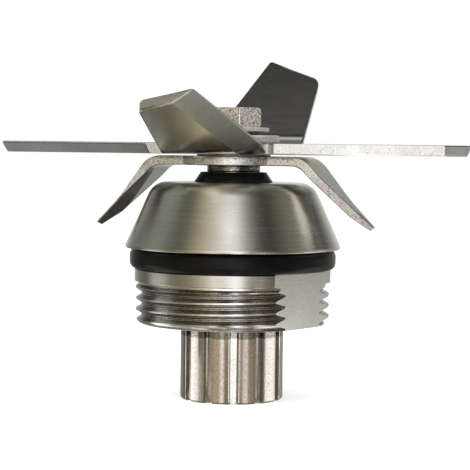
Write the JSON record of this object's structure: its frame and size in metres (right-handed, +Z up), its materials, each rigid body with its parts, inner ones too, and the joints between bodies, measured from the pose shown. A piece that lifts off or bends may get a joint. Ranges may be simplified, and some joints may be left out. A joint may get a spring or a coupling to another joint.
{
  "type": "blender blade assembly",
  "caption": "Spinning six-blade cutter on a threaded, sealed bearing housing, with a splined drive gear underneath.",
  "frame": {"origin": "centre of the drive end's bottom face, on the shaft axis", "axes": "+Z up along the shaft from the drive gear to the nut; at rest the long blades lie near X and the lower of the two raised blades points to -Y"},
  "size_m": [0.0764, 0.041, 0.0557],
  "materials": {
    "housing_steel": "turned, satin",
    "blade_steel": "ground, satin",
    "gear_steel": "machined, bright",
    "bearing_steel": "ground, bright",
    "washer_steel": "stamped, satin",
    "nut_steel": "plated",
    "spring_steel": "phosphated, dark",
    "black_rubber": "moulded, matt",
    "shield_rubber": "moulded, matt",
    "cage_plastic": "moulded polyamide"
  },
  "bodies": {
    "housing": {"bearing_housing": "housing_steel", "gasket_ring": "black_rubber", "shaft_seal": "black_rubber", "outer_spacer": "bearing_steel", "retaining_ring": "spring_steel", "lower_bearing_outer_ring": "bearing_steel", "lower_bearing_bottom_shield": "shield_rubber", "lower_bearing_top_shield": "shield_rubber", "upper_bearing_outer_ring": "bearing_steel", "upper_bearing_bottom_shield": "shield_rubber", "upper_bearing_top_shield": "shield_rubber"},
    "rotor": {"shaft": "bearing_steel", "drive_gear": "gear_steel", "inner_spacer": "bearing_steel", "blade_collar": "bearing_steel", "lower_blade": "blade_steel", "blade_shim": "washer_steel", "upper_blade": "blade_steel", "wide_washer": "washer_steel", "lock_washer": "spring_steel", "small_washer": "washer_steel", "blade_nut": "nut_steel", "lower_bearing_inner_ring": "bearing_steel", "upper_bearing_inner_ring": "bearing_steel"},
    "lower_cage": {"lower_bearing_cage": "cage_plastic", "lower_bearing_balls": "bearing_steel"},
    "upper_cage": {"upper_bearing_cage": "cage_plastic", "upper_bearing_balls": "bearing_steel"}
  },
  "joints": [
    {"name": "rotor_spin", "type": "hinge", "parent": "housing", "child": "rotor", "pos_m": [0, 0, 0.03], "axis": [0, 0, 1], "continuous": true},
    {"name": "lower_cage_spin", "type": "hinge", "parent": "housing", "child": "lower_cage", "pos_m": [0, 0, 0.01835], "axis": [0, 0, 1], "continuous": true},
    {"name": "upper_cage_spin", "type": "hinge", "parent": "housing", "child": "upper_cage", "pos_m": [0, 0, 0.02835], "axis": [0, 0, 1], "continuous": true}
  ],
  "couplings": [
    {"joint": "lower_cage_spin", "follows": "rotor_spin", "ratio": 0.3767},
    {"joint": "upper_cage_spin", "follows": "rotor_spin", "ratio": 0.3767}
  ]
}
